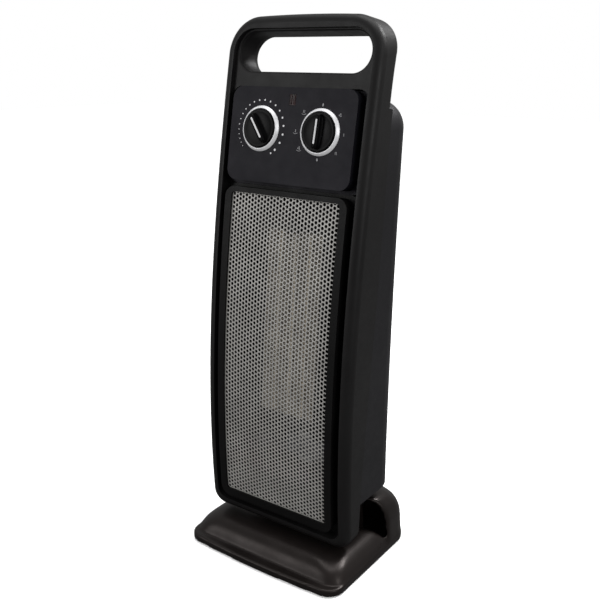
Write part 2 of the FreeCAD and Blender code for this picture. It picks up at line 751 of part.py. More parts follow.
def turret_wire(side, back, corner, z):
    """The raised rear at one level: a V in front, set back so the swinging frame clears it."""
    tilt = math.radians(size("swing_limit"))
    nose = size("pivot_y") - size("turret_clear")
    nose_half = size("turret_clear") * math.tan(tilt / 2)
    flank = nose + (side - nose_half) * math.tan(tilt)
    points = [Vector(-nose_half, nose, z), Vector(nose_half, nose, z), Vector(side, flank, z),
              Vector(side, back, z), Vector(-side, back, z), Vector(-side, flank, z)]
    return round_polygon(points, [4, 4, 4, corner, corner, 4])


def round_polygon(points, radii):
    """A closed outline of straight runs with an arc at each corner."""
    count = len(points)
    trims = []
    for number, point in enumerate(points):
        before = (points[number - 1] - point).normalize()
        after = (points[(number + 1) % count] - point).normalize()
        half_angle = before.getAngle(after) / 2
        reach = radii[number] / math.tan(half_angle)
        centre = point + (before + after).normalize() * (radii[number] / math.sin(half_angle))
        middle = centre + (point - centre).normalize() * radii[number]
        trims.append((point + before * reach, middle, point + after * reach))
    edges = []
    for number, (start, middle, end) in enumerate(trims):
        edges.append(Part.Arc(start, middle, end).toShape())
        edges.append(Part.makeLine(end, trims[(number + 1) % count][0]))
    return Part.Wire(edges)


def turret_solid(inset):
    """The raised rear, with sides that lean in and round over to a flat top."""
    wires = []
    for z, step in TURRET_LEVELS:
        corner = size("base_corner") + 0.2 * step
        level = z - inset if z > size("skirt_top") or not inset else 0
        wires.append(turret_wire(size("turret_side") - step - inset,
                                 size("turret_back") - step - inset, corner, level))
    return Part.makeLoft(wires, True, True)


def screw_posts():
    """Posts inside the base cover that take the base plate's screws."""
    low = size("plate_low") + size("plate_thick")
    posts = []
    for x, y in BASE_SCREWS:
        roof = size("deck_height") if y < 0 else size("turret_height")
        post = Part.makeCylinder(4, roof - 1 - low, Vector(x, y, low))
        posts.append(post.cut(Part.makeCylinder(size("screw_radius"), 12, Vector(x, y, low))))
    return posts


def make_base_cover():
    """Skirt, sloping deck and raised rear as one moulded shell."""
    wall = size("base_wall")
    low = size("skirt_low")
    skirt_tall = size("skirt_top") - low
    skirt = upright_prism(footprint_wire(0, 0, low), skirt_tall, size("base_corner"))
    outer = skirt.fuse([deck_solid(0), turret_solid(0)])
    inner_skirt = upright_prism(footprint_wire(wall, 0, low - 1), skirt_tall + 1 - wall,
                                size("base_corner") - wall)
    inner = inner_skirt.fuse([deck_solid(wall), turret_solid(wall)])
    bush_hole = Part.makeCylinder(size("spindle_radius") + 3, 20,
                                  Vector(0, size("pivot_y"), size("turret_height") - 10))
    gland_hole = Part.makeCylinder(4.5, 20, Vector(-38, size("turret_back") - 12, 18),
                                   Vector(0, 1, 0))
    shell = outer.cut([inner, bush_hole, gland_hole])
    return shell.fuse(screw_posts())


def build_base():
    node(shaped("base_cover_shape", make_base_cover()), "base_cover")

    plate = upright_prism(footprint_wire(size("base_wall") + 0.6, 0, size("plate_low")),
                          size("plate_thick"), size("base_corner") - 3)
    holes = [Part.makeCylinder(size("screw_radius") + 0.2, 10, Vector(x, y, 0))
             for x, y in BASE_SCREWS]
    plunger = Part.makeCylinder(size("plunger_radius") + 0.4, 10,
                                Vector(size("plunger_x"), size("plunger_y"), 0))
    node(shaped("base_plate_shape", plate.cut(holes + [plunger])), "base_plate")

    feet = [rod("foot_%d" % number, "foot_radius", "plate_low",
                ("%d*foot_x" % across, "%d*foot_y" % along, "0"))
            for number, (across, along) in enumerate(((-1, -1), (1, -1), (1, 1), (-1, 1)))]
    node(join("rubber_feet_group", feet), "rubber_feet")

    screws = []
    for number, (x, y) in enumerate(BASE_SCREWS):
        head = rod("base_screw_head_%d" % number, "screw_head", "1.5",
                   (x, y, "plate_low-1.5"))
        shank = rod("base_screw_shank_%d" % number, "screw_radius-0.05", "plate_thick+9",
                    (x, y, "plate_low"))
        screws += [head, shank]
    node(join("base_screw_group", screws), "base_screws")

    node(ring("bearing", "bearing_outer", "bearing_inner", "bearing_thick",
              ("0", "pivot_y", "turret_height")), "swing_bearing_ring")
    sleeve = rod("bush_sleeve", "spindle_radius+2.95", "10",
                 ("0", "pivot_y", "turret_height-9"))
    collar = rod("bush_collar", "spindle_radius+6", "1.5",
                 ("0", "pivot_y", "turret_height"))
    bore = rod("bush_bore", "spindle_radius+spindle_play", "20",
               ("0", "pivot_y", "turret_height-12"))
    node(cut("spindle_bush_body", join("bush_blank", [sleeve, collar]), [bore]), "spindle_bush")

    node(shaped("swing_motor_shape", make_swing_motor()), "swing_motor")
    table = block("motor_table", ("56", "40", "1.5"),
                  ("0", "pivot_y+crank_reach", "swing_motor_low-1.5"))
    legs = [block("motor_leg_%d" % number,
                  ("1.5", "40", "swing_motor_low-1.5-plate_low-plate_thick"),
                  ("%d*27.25" % side, "pivot_y+crank_reach", "plate_low+plate_thick"))
            for number, side in enumerate((-1, 1))]
    toes = [block("motor_toe_%d" % number, ("10", "40", "1.5"),
                  ("%d*31" % side, "pivot_y+crank_reach", "plate_low+plate_thick"))
            for number, side in enumerate((-1, 1))]
    node(join("motor_stand", [table] + legs + toes), "swing_motor_bracket")

    case = block("tilt_case", ("20", "12", "12"),
                 ("plunger_x", "plunger_y", "plate_low+plate_thick"))
    well = rod("tilt_well", "plunger_radius+0.08", "12", ("plunger_x", "plunger_y", "plate_low"))
    node(cut("tilt_switch_body", case, [well]), "tilt_switch")
    stem = rod("plunger_stem", "plunger_radius", "12.5", ("plunger_x", "plunger_y", "plunger_rest"))
    node(stem, "tilt_plunger")

    node(block("terminals", ("30", "13", "12"), ("-52", "-18", "plate_low+plate_thick")),
         "terminal_block")
    flange = rod("gland_flange", "7", "1.5", ("-38", "turret_back", "18"), "y")
    neck = rod("gland_neck", "4.4", "9", ("-38", "turret_back-8", "18"), "y")
    lead_way = rod("gland_bore", "3", "30", ("-38", "turret_back-15", "18"), "y")
    node(cut("gland_body", join("gland_blank", [flange, neck]), [lead_way]), "cord_gland")


def make_swing_motor():
    """A flat gear motor with its output shaft, and two mounting ears."""
    low = size("swing_motor_low")
    tall = size("swing_motor_tall")
    y = size("pivot_y") + size("crank_reach")
    can = Part.makeCylinder(size("swing_motor_radius"), tall, Vector(0, y, low))
    shaft = Part.makeCylinder(2, size("crank_low") + 2 - low - tall, Vector(0, y, low + tall))
    ears = [Part.makeCylinder(3.5, 1.2, Vector(side * 23, y, low)) for side in (-1, 1)]
    return can.fuse([shaft] + ears)


def build_swing_drive():
    """The crank on the motor, and the spindle and slotted lever that it swings."""
    crank_y = "pivot_y+crank_reach"
    crank = new_body("crank_body")
    hub = sketch_in(crank, "crank_hub", "crank_low")
    sketch_circle(hub, "5.5", "0", crank_y)
    pad(crank, hub, "crank_thick")
    arm = sketch_in(crank, "crank_arm", "crank_low")
    sketch_rectangle(arm, "8", "crank_throw+4", "0", crank_y + "+crank_throw/2+2")
    pad(crank, arm, "crank_thick")
    pin = sketch_in(crank, "crank_pin", "crank_low+crank_thick")
    sketch_circle(pin, "pin_radius", "0", crank_y + "+crank_throw")
    pad(crank, pin, "lever_low+lever_thick+1.5-crank_low-crank_thick")
    bore = sketch_in(crank, "crank_bore", "crank_low")
    sketch_circle(bore, "2.05", "0", crank_y)
    pocket(crank, bore)
    node(crank, "swing_crank")

    lever = new_body("lever_body")
    hub = sketch_in(lever, "lever_hub", "lever_low")
    sketch_circle(hub, "spindle_radius", "0", "pivot_y")
    pad(lever, hub, "lever_thick")
    arm = sketch_in(lever, "lever_arm", "lever_low")
    sketch_rectangle(arm, "14", "crank_reach+crank_throw+5.5",
                     "0", "pivot_y+(crank_reach+crank_throw+5.5)/2")
    pad(lever, arm, "lever_thick")
    slot = sketch_in(lever, "lever_slot", "lever_low")
    sketch_rectangle(slot, "2*pin_radius+2*slot_play", "crank_throw+22",
                     "0", "pivot_y+crank_reach+crank_throw+3-(crank_throw+22)/2")
    pocket(lever, slot)
    node(lever, "swing_lever")

    disc = rod("swing_disc", "disc_radius", "casing_low-turret_height-bearing_thick-0.1",
               ("0", "pivot_y", "turret_height+bearing_thick+0.1"))
    stem = rod("swing_stem", "spindle_radius", "casing_low-lever_low-lever_thick",
               ("0", "pivot_y", "lever_low+lever_thick"))
    way = rod("swing_way", "spindle_bore", "casing_low-lever_low",
              ("0", "pivot_y", "lever_low+lever_thick-1"))
    node(cut("spindle_body", join("spindle_blank", [disc, stem]), [way]), "swing_spindle")


# ---- the housing --------------------------------------------------------------------------


def build_shells():
    node(shaped("front_frame_shape", make_front_frame()), "front_frame")
    node(shaped("rear_casing_shape", make_rear_casing()), "rear_casing")
    node(shaped("control_panel_shape", make_control_panel()), "control_panel")
    node(shaped("grille_frame_shape", make_grille_frame()), "grille_frame")
    node(shaped("grille_mesh_shape", make_grille_mesh()), "grille_mesh")


def build_screws():
    """Screws in the casing's wells, and screws behind the panel's corners."""
    casing = []
    for number, (x, z) in enumerate(CASING_SCREWS):
        floor_y = back_point(z).y - size("well_deep")
        casing.append(rod("casing_screw_head_%d" % number, "screw_head", "1.6",
                          (x, floor_y + 2, z), "y"))
        casing.append(rod("casing_screw_shank_%d" % number, "screw_radius", "14",
                          (x, floor_y - 12, z), "y"))
    node(join("casing_screw_group", casing), "casing_screws")
    panel = []
    for number, (side, down) in enumerate(((-1, -230), (1, -230), (-1, -163), (1, -163))):
        head = rod("panel_screw_head_%d" % number, "screw_head", "1.6", ("0", "0", "-1.6"))
        shank = rod("panel_screw_shank_%d" % number, "screw_radius", "7", ("0", "0", "0"))
        screw = join("panel_screw_%d" % number, [head, shank])
        screw.Placement = front_placement(down, -12, side * 58.0)
        panel.append(screw)
    node(join("panel_screw_group", panel), "panel_screws")


def on_front_face(item, down, out, x=0.0, spin=0.0, up=0.0):
    """Stand an object on the bowed front: local Z points out of it, up shifts it along it."""
    if item.TypeId in ("Part::Box", "Part::Cylinder"):
        carrier = doc.addObject("Part::Compound", item.Name + "_carrier")
        carrier.Links = [item]
        item = carrier
    lift = Placement(Vector(0, up, 0), Rotation())
    item.Placement = front_placement(down, out, x, spin).multiply(lift)
    return item


def build_knob(name, side, spin):
    """A knob with its finger grip, its white line, its shaft and the silver ring round it."""
    x = side * size("knob_x")
    down = size("knob_down")
    level = size("panel_proud") + size("knob_gap")

    knob = new_body(name + "_body")
    skirt = sketch_in(knob, name + "_skirt")
    sketch_circle(skirt, "knob_radius")
    pad(knob, skirt, "knob_skirt")
    grip = sketch_in(knob, name + "_grip", "knob_skirt")
    sketch_rectangle(grip, "grip_wide", "grip_long")
    pad(knob, grip, "grip_tall")
    shaft = sketch_in(knob, name + "_shaft", "-26")
    sketch_circle(shaft, "shaft_radius")
    pad(knob, shaft, "26")
    node(on_front_face(knob, down, level, x, spin), name + "_knob")

    line = block(name + "_line", ("1.6", "20.5", "0.4"), ("0", "0", "0"))
    holder = cut(name + "_pointer_body", line, [block(name + "_line_end", ("3", "1", "1"),
                                                      ("0", "-11", "0"))])
    top = level + size("knob_skirt") + size("grip_tall")
    node(on_front_face(holder, down, top, x, spin), name + "_pointer")

    blank = cone(name + "_ring_cone", "bezel_radius", "bezel_inner+1", "bezel_proud", ("0", "0", "0"))
    bore = rod(name + "_ring_bore", "bezel_inner", "10", ("0", "0", "-1"))
    silver = cut(name + "_ring_body", blank, [bore])
    node(on_front_face(silver, down, size("panel_proud") + 0.1, x), name + "_ring")


def build_controls():
    build_knob("thermostat", -1, -36)
    build_knob("selector", 1, 2.5)
    down = size("knob_down")

    lens = block("lens_block", ("lens_wide-0.2", "lens_tall-0.2", "3"), ("0", "0", "0"))
    node(on_front_face(lens, size("lens_down"), size("panel_proud") - 2.6), "indicator_lens")
    lamp = rod("lamp_tube", "2.5", "9", ("0", "0", "0"))
    node(on_front_face(lamp, size("lens_down"), size("panel_proud") - 12.2), "neon_lamp")

    plate = block("bracket_plate", ("118", "56", "bracket_thick"), ("0", "0", "0"))
    ways = [rod("bracket_way_%d" % number, "shaft_radius+1", "6",
                ("%d*knob_x" % side, "0", "-2")) for number, side in enumerate((-1, 1))]
    bracket = cut("bracket_body", plate, ways)
    node(on_front_face(bracket, down, size("bracket_out") - size("bracket_thick")),
         "control_bracket")

    seat = size("bracket_out") - size("bracket_thick")
    case = block("thermostat_case", ("34", "30", "16"), ("0", "0", "-16"))
    way = rod("thermostat_way", "shaft_radius+shaft_play", "40", ("0", "0", "-30"))
    node(on_front_face(cut("thermostat_unit_body", case, [way]), down, seat, -size("knob_x")),
         "thermostat_unit")
    case = rod("selector_case", "17", "16", ("0", "0", "-16"))
    tabs = block("selector_tabs", ("20", "24", "8"), ("0", "0", "-22"))
    way = rod("selector_way", "shaft_radius+shaft_play", "40", ("0", "0", "-30"))
    unit = cut("selector_unit_body", join("selector_blank", [case, tabs]), [way])
    node(on_front_face(unit, down, seat, size("knob_x")), "selector_switch")


def build_heater():
    """The heating element: fin columns between ceramic strips, in a plastic frame."""
    down = size("heater_down")
    out = size("heater_out")
    count = 4
    column = "((heater_wide-%d*stone_thick)/%d)" % (count - 1, count)
    pitch = "(%s+stone_thick)" % column
    fins = [block("fin_column_%d" % number, (column, "heater_tall", "heater_thick"),
                  ("(%s)*%s" % (number - (count - 1) / 2, pitch), "0", "-heater_thick/2"))
            for number in range(count)]
    node(on_front_face(join("fin_group", fins), down, out), "heater_fins")
    stones = [block("stone_%d" % number, ("stone_thick", "heater_tall-4", "heater_thick-2"),
                    ("(%s)*%s" % (number - (count - 2) / 2, pitch), "0", "-heater_thick/2+1"))
              for number in range(count - 1)]
    node(on_front_face(join("stone_group", stones), down, out), "heater_stones")
    blank = block("holder_blank", ("heater_wide+14", "heater_tall+14", "heater_thick+2"),
                  ("0", "0", "-heater_thick/2-1"))
    baffle = block("holder_baffle", ("2*baffle_half", "heater_tall+26+baffle_rise", "baffle_thick"),
                   ("0", "baffle_rise/2", "-heater_thick/2-1"))
    window = block("holder_window", ("heater_wide+0.4", "heater_tall+0.4", "60"), ("0", "0", "-30"))
    holder = cut("holder_body", join("holder_sum", [blank, baffle]), [window])
    node(on_front_face(holder, down, out), "heater_holder")
    cap = rod("cutout_can", "6", "8", ("0", "0", "0"))
    node(on_front_face(cap, down, out + size("heater_thick") / 2 + 1, up=size("heater_tall") / 2 + 3.6),
         "thermal_cutout")


def build_fan():
    """An upright drum fan, its motor below it, its bearings and its air guide."""
    y = size("fan_y")
    low = size("fan_low")
    tall = size("fan_tall")
    radius = size("fan_radius")
    deep = size("blade_deep")
    blades = []
    count = int(size("blade_count"))
    for number in range(count):
        blade = Part.makeBox(deep, size("blade_thick"), tall,
                             Vector(radius - deep - 0.4, -size("blade_thick") / 2, 0))
        blade.rotate(Vector(radius - deep / 2, 0, 0), Vector(0, 0, 1), 28)
        blade.rotate(Vector(0, 0, 0), Vector(0, 0, 1), 360 * number / count)
        blades.append(blade)
    discs = [Part.makeCylinder(radius, 2, Vector(0, 0, z)) for z in (0, tall / 2 - 1, tall - 2)]
    shaft_low = size("core_low") - 6
    shaft = Part.makeCylinder(size("fan_shaft"), low + tall + 10 - shaft_low,
                              Vector(0, 0, shaft_low - low))
    wheel = discs[0].fuse(discs[1:] + blades)
    wheel.translate(Vector(0, y, low))
    shaft.translate(Vector(0, y, low))
    node(shaped("fan_wheel_shape", wheel.cut(shaft)), "fan_wheel")
    node(shaped("fan_shaft_shape", shaft), "fan_shaft")
    node(ring("rotor", "rotor_radius", "fan_shaft", "core_tall-2", ("0", "fan_y", "core_low+1")),
         "motor_rotor")

    core = block("core_blank", ("core_wide", "core_deep", "core_tall"),
                 ("core_shift", "fan_y", "core_low"))
    bore = rod("core_bore", "rotor_radius+air_gap", "60", ("0", "fan_y", "core_low-10"))
    leg_x = "core_shift+core_wide/2-leg_wide/2"
    window = block("core_window", ("12", "core_deep-16", "60"),
                   (leg_x + "-leg_wide/2-6", "fan_y", "core_low-10"))
    node(cut("core_body", core, [bore, window]), "motor_core")
    coil = block("coil_block", ("leg_wide+20", "core_deep-16.4", "core_tall+6"),
                 (leg_x, "fan_y", "core_low-3"))
    leg = block("coil_way", ("leg_wide", "core_deep", "core_tall"), (leg_x, "fan_y", "core_low"))
    node(cut("coil_body", coil, [leg]), "motor_coil")

    for name, level, foot in (("lower", "core_low-5.5", "core_low-5.5"),
                              ("upper", "core_low+core_tall+3.5", "core_low+core_tall")):
        strap = block(name + "_strap", ("14", "core_deep", "2"), ("0", "fan_y", level))
        parts = [strap]
        for number, side in enumerate((-1, 1)):
            parts.append(block("%s_strap_foot_%d" % (name, number), ("14", "3", "5.5"),
                               ("0", "fan_y+%d*(core_deep/2-1.5)" % side, foot)))
        if name == "lower":
            parts.append(block("cross_brace", ("brace_wide", "14", "2"), ("0", "fan_y", level)))
        way = rod(name + "_strap_way", "fan_shaft+shaft_fit", "30",
                  ("0", "fan_y", "(%s)-10" % level))
        node(cut(name + "_strap_body", join(name + "_strap_blank", parts), [way]),
             "motor_bracket_" + name)
    top = "fan_low+fan_tall"
    arm = block("top_arm", ("brace_wide", "12", "2.5"), ("0", "fan_y", top + "+4"))
    cup = rod("top_cup", "6", "5", ("0", "fan_y", top + "+4"))
    socket = rod("top_socket", "4.5", "20", ("0", "fan_y", top))
    node(cut("top_bracket_body", join("top_bracket_blank", [arm, cup]), [socket]),
         "fan_top_bracket")
    node(ring("top_bush", "4.45", "fan_shaft+shaft_fit", "5", ("0", "fan_y", top + "+4")),
         "fan_bush")

    gap = radius + size("scroll_gap")
    thick = size("scroll_thick")
    guide = Part.makeCylinder(gap + thick, tall + 4, Vector(0, y, low - 2), Vector(0, 0, 1), 125)
    guide = guide.cut(Part.makeCylinder(gap, tall + 10, Vector(0, y, low - 5)))
    guide.rotate(Vector(0, y, 0), Vector(0, 0, 1), 118)
    node(shaped("air_guide_shape", guide), "air_guide")

    ahead = Part.makeBox(400, 400, 200, Vector(-200, -200, 0))
    behind = size("heater_out") - size("heater_thick") / 2 - 1.3
    ahead.Placement = front_placement(size("heater_down"), behind)
    walls = []
    for side in (-1, 1):
        wall = Part.makeBox(thick, 40, tall + 4, Vector(side * 38 - thick / 2, y - 50, low - 2))
        walls.append(wall.cut(ahead))
    node(shaped("duct_shape", Part.makeCompound(walls)), "air_duct_walls")


build_base()
build_swing_drive()
build_shells()
build_screws()
build_controls()
build_heater()
build_fan()
doc.recompute()

for item in doc.Objects:
    if "Invalid" in item.State or "Error" in item.State:
        raise RuntimeError("%s failed: %s" % (item.Label, item.State))
for item in NODES:
    if item.Shape.isNull() or not item.Shape.isValid():
        raise RuntimeError("%s has no valid shape" % item.Label)

os.makedirs("parts", exist_ok=True)
for item in NODES:
    item.Shape.exportStep("parts/%s.step" % item.Label)
    box = item.Shape.BoundBox
    print("%-22s solids %2d volume %9.0f  x %7.1f %7.1f  y %7.1f %7.1f  z %7.1f %7.1f" % (
        item.Label, len(item.Shape.Solids), item.Shape.Volume,
        box.XMin, box.XMax, box.YMin, box.YMax, box.ZMin, box.ZMax))
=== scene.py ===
import functools
import math

import bmesh
import bpy
from mathutils import Matrix, Vector


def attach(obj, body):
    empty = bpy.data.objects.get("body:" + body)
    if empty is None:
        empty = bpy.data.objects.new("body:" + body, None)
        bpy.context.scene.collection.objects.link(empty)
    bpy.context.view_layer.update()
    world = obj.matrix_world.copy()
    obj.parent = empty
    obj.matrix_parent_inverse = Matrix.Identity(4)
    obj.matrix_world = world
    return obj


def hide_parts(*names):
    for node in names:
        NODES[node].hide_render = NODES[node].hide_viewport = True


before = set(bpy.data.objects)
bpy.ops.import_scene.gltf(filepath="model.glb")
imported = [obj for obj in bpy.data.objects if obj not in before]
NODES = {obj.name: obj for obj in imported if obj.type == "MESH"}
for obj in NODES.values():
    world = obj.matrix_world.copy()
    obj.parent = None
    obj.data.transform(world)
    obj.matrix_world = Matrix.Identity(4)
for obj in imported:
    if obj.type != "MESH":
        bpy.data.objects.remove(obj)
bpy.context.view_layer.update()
MM = 0.001

# ---- the bowed front, as the CAD model has it -----------------------------------------------

FRONT_Y = -37.0
FRONT_Z = 200.0
LEAN_MID = 3.3
LEAN_RATE = 0.04235
LEAN_GROWTH = 0.00005319
PANEL_OUT = 1.8
FRONT_STEPS = 24


def lean(down):
    """Lean of the front from the vertical, in radians; down is in millimetres from its middle."""
    return math.radians(LEAN_MID - LEAN_RATE * down - LEAN_GROWTH * down * down)


@functools.lru_cache(maxsize=None)
def front_line(down):
    """The point of the bowed front at this distance, as (y, z) in millimetres."""
    step = down / FRONT_STEPS
    y, z = FRONT_Y, FRONT_Z
    for number in range(FRONT_STEPS):
        angle = lean((number + 0.5) * step)
        y -= math.sin(angle) * step
        z -= math.cos(angle) * step
    return y, z


def on_front(x, down, out):
    """A point in front of the bowed sheet, in metres."""
    y, z = front_line(down)
    angle = lean(down)
    return Vector((x, y - out * math.cos(angle), z + out * math.sin(angle))) * MM


def front_matrix(x, down, out, spin=0.0):
    """Local X across, Y up along the front, Z out of it; spin turns clockwise, in degrees."""
    angle = lean(down)
    across = Vector((1, 0, 0))
    up = Vector((0, math.sin(angle), math.cos(angle)))
    normal = Vector((0, -math.cos(angle), math.sin(angle)))
    basis = Matrix((across, up, normal)).transposed().to_4x4()
    turn = Matrix.Rotation(math.radians(-spin), 4, "Z")
    return Matrix.Translation(on_front(x, down, out)) @ basis @ turn


# ---- materials ------------------------------------------------------------------------------

MIX_COLOUR_A, MIX_COLOUR_B, MIX_COLOUR_OUT = 6, 7, 2    # sockets of a Mix node set to colour


class Shader:
    """A Principled material that is built up node by node."""

    def __init__(self, name, rough, metallic=0.0, **sockets):
        self.material = bpy.data.materials.new(name)
        self.material.use_nodes = True
        self.tree = self.material.node_tree
        self.tree.nodes.clear()
        self.output = self.tree.nodes.new("ShaderNodeOutputMaterial")
        self.surface = self.tree.nodes.new("ShaderNodeBsdfPrincipled")
        self.join(self.surface.outputs["BSDF"], self.output.inputs["Surface"])
        self.surface.inputs["Roughness"].default_value = rough
        self.surface.inputs["Metallic"].default_value = metallic
        for socket, value in sockets.items():
            self.surface.inputs[socket.replace("_", " ")].default_value = value
        self.height = None
        place = self.tree.nodes.new("ShaderNodeTexCoord")
        self.place = place.outputs["Object"]

    def join(self, start, end):
        self.tree.links.new(start, end)

    def noise(self, scale, detail=3.0, rough=0.55, stretch=None):
        node = self.tree.nodes.new("ShaderNodeTexNoise")
        node.inputs["Scale"].default_value = scale
        node.inputs["Detail"].default_value = detail
        node.inputs["Roughness"].default_value = rough
        source = self.place
        if stretch:
            mapping = self.tree.nodes.new("ShaderNodeMapping")
            mapping.inputs["Scale"].default_value = stretch
            self.join(source, mapping.inputs["Vector"])
            source = mapping.outputs["Vector"]
        self.join(source, node.inputs["Vector"])
        return node.outputs["Fac"]

    def spread(self, factor, low, high, start=0.3, end=0.7):
        """A number that runs from low to high as the factor runs from start to end."""
        node = self.tree.nodes.new("ShaderNodeMapRange")
        node.inputs["From Min"].default_value = start
        node.inputs["From Max"].default_value = end
        node.inputs["To Min"].default_value = low
        node.inputs["To Max"].default_value = high
        self.join(factor, node.inputs["Value"])
        return node.outputs["Result"]

    def ramp(self, factor, *stops):
        """A colour ramp of (position, (r, g, b)) stops."""
        node = self.tree.nodes.new("ShaderNodeValToRGB")
        ramp = node.color_ramp
        while len(ramp.elements) < len(stops):
            ramp.elements.new(0.5)
        for element, (position, colour) in zip(ramp.elements, stops):
            element.position = position
            element.color = (*colour, 1)
        self.join(factor, node.inputs["Fac"])
        return node.outputs["Color"]

    def colour(self, source):
        self.join(source, self.surface.inputs["Base Color"])
        return self

    def roughness(self, source):
        self.join(source, self.surface.inputs["Roughness"])
        return self

    def bump(self, height, distance, strength=1.0):
        """Stack a bump, its height in metres."""
        node = self.tree.nodes.new("ShaderNodeBump")
        node.inputs["Strength"].default_value = strength
        node.inputs["Distance"].default_value = distance
        self.join(height, node.inputs["Height"])
        if self.height is not None:
            self.join(self.height, node.inputs["Normal"])
        self.height = node.outputs["Normal"]
        self.join(self.height, self.surface.inputs["Normal"])
        return self


def moulded(name, dark, light, rough, grain=1500.0, depth=0.00004, specular=0.4,
            tint=(1, 1, 1)):
    """Injection moulded plastic: fine spark grain, slow tone changes, faint rub marks."""
    made = Shader(name, rough, Specular_IOR_Level=specular, Specular_Tint=(*tint, 1))
    tone = made.noise(14.0, 4.0)
    made.colour(made.ramp(tone, (0.3, dark), (0.7, light)))
    rub = made.noise(55.0, 6.0, 0.65)
    made.roughness(made.spread(rub, rough - 0.06, rough + 0.07))
    made.bump(made.noise(grain, 2.0, 0.5), depth)
    return made.material


def metal(name, dark, light, rough, stretch, depth=0.00002, scale=260.0):
    """Bare or plated metal with a drawn or rolled direction."""
    made = Shader(name, rough, 1.0)
    lay = made.noise(scale, 3.0, 0.6, stretch)
    made.colour(made.ramp(made.noise(30.0, 4.0), (0.3, dark), (0.7, light)))
    made.roughness(made.spread(lay, rough - 0.08, rough + 0.1))
    made.bump(lay, depth)
    return made.material


def soft_rubber(name, dark, light):
    """Matt rubber with a coarse grain."""
    made = Shader(name, 0.85, Specular_IOR_Level=0.25)
    made.colour(made.ramp(made.noise(60.0, 5.0), (0.35, dark), (0.65, light)))
    made.roughness(made.spread(made.noise(240.0), 0.78, 0.92))
    made.bump(made.noise(700.0, 3.0), 0.00006)
    return made.material


def grille_paint():
    """Warm grey baked paint on punched steel, slightly uneven."""
    made = Shader("grille_paint", 0.5, 0.2, Specular_IOR_Level=0.4)
    tone = made.noise(35.0, 5.0, 0.6)
    made.colour(made.ramp(tone, (0.3, (0.34, 0.33, 0.315)), (0.7, (0.44, 0.43, 0.41))))
    made.roughness(made.spread(made.noise(420.0), 0.42, 0.58))
    made.bump(made.noise(900.0, 2.0), 0.00003)
    return made.material


def satin_silver():
    """Vacuum plated plastic with a satin coat."""
    made = Shader("satin_silver", 0.36, 0.1, Specular_IOR_Level=0.5)
    tone = made.noise(90.0, 3.0)
    made.colour(made.ramp(tone, (0.3, (0.86, 0.86, 0.88)), (0.7, (0.93, 0.93, 0.95))))
    made.roughness(made.spread(made.noise(500.0, 2.0), 0.26, 0.38))
    made.bump(made.noise(1600.0, 2.0), 0.00001)
    return made.material


def marking_ink(name, dark, light):
    """Pad printed ink, slightly uneven."""
    made = Shader(name, 0.55, Specular_IOR_Level=0.35)
    made.colour(made.ramp(made.noise(800.0, 4.0), (0.3, dark), (0.7, light)))
    made.bump(made.noise(2500.0, 2.0), 0.00001)
    return made.material


def red_lens():
    """Dark red plastic over an unlit lamp."""
    made = Shader("red_lens", 0.3, Specular_IOR_Level=0.2)
    tone = made.noise(260.0, 4.0)
    made.colour(made.ramp(tone, (0.3, (0.008, 0.0025, 0.003)), (0.7, (0.022, 0.0035, 0.004))))
    made.roughness(made.spread(made.noise(300.0), 0.18, 0.3))
    made.bump(made.noise(700.0, 2.0), 0.00002)
    return made.material


def fired_ceramic():
    """Unglazed ceramic, cream and matt."""
    made = Shader("fired_ceramic", 0.8, Specular_IOR_Level=0.3)
    tone = made.noise(120.0, 6.0)
    made.colour(made.ramp(tone, (0.3, (0.52, 0.45, 0.35)), (0.7, (0.68, 0.61, 0.50))))
    made.roughness(made.spread(made.noise(300.0), 0.7, 0.9))
    made.bump(made.noise(1100.0, 4.0), 0.00005)
    return made.material


def lamp_glass():
    """Thin clear glass of the neon lamp."""
    made = Shader("lamp_glass", 0.06, Transmission_Weight=0.9, IOR=1.47)
    made.colour(made.ramp(made.noise(200.0), (0.3, (0.85, 0.7, 0.6)), (0.7, (0.95, 0.82, 0.7))))
    made.bump(made.noise(300.0), 0.00002)
    return made.material


BODY = moulded("body_plastic", (0.0052, 0.0049, 0.0050), (0.0080, 0.0076, 0.0077), 0.46,
               specular=0.19)
SHELL = moulded("shell_plastic", (0.0050, 0.0049, 0.0056), (0.0080, 0.0078, 0.0090), 0.44,
                specular=0.22, tint=(0.97, 0.94, 1.0))
PANEL = moulded("panel_plastic", (0.0052, 0.0051, 0.0068), (0.0070, 0.0069, 0.0090), 0.42, 1900.0,
                0.00002, 0.105, (0.95, 0.92, 1.0))
BASE = moulded("base_plastic", (0.0060, 0.0048, 0.0045), (0.0090, 0.0072, 0.0067), 0.33, 1700.0,
               0.00002, 0.2, (1.0, 0.90, 0.87))
BEZEL = moulded("bezel_plastic", (0.0022, 0.0021, 0.0021), (0.0040, 0.0038, 0.0038), 0.45,
                specular=0.12)
KNOB = moulded("knob_plastic", (0.0008, 0.0008, 0.0010), (0.0016, 0.0016, 0.0020), 0.34, 1900.0,
               0.000012, 0.08)
UNDER = moulded("under_plastic", (0.006, 0.006, 0.006), (0.012, 0.012, 0.012), 0.6, 900.0,
                0.00006)
HEAT = moulded("heat_plastic", (0.003, 0.003, 0.003), (0.006, 0.006, 0.006), 0.7, 800.0,
               0.00006, 0.12)
NYLON = moulded("nylon", (0.60, 0.58, 0.52), (0.72, 0.70, 0.64), 0.5, 700.0, 0.00003)
THERMOSET = moulded("thermoset", (0.42, 0.38, 0.31), (0.55, 0.51, 0.43), 0.6, 600.0, 0.00004)
RUBBER = soft_rubber("rubber", (0.014, 0.014, 0.014), (0.03, 0.03, 0.029))
PLATED = metal("plated_steel", (0.45, 0.45, 0.44), (0.60, 0.60, 0.57), 0.34, (1, 1, 8))
LAMINATED = metal("laminated_core", (0.16, 0.16, 0.17), (0.30, 0.30, 0.31), 0.42,
                  (0.2, 0.2, 12), 0.0001)
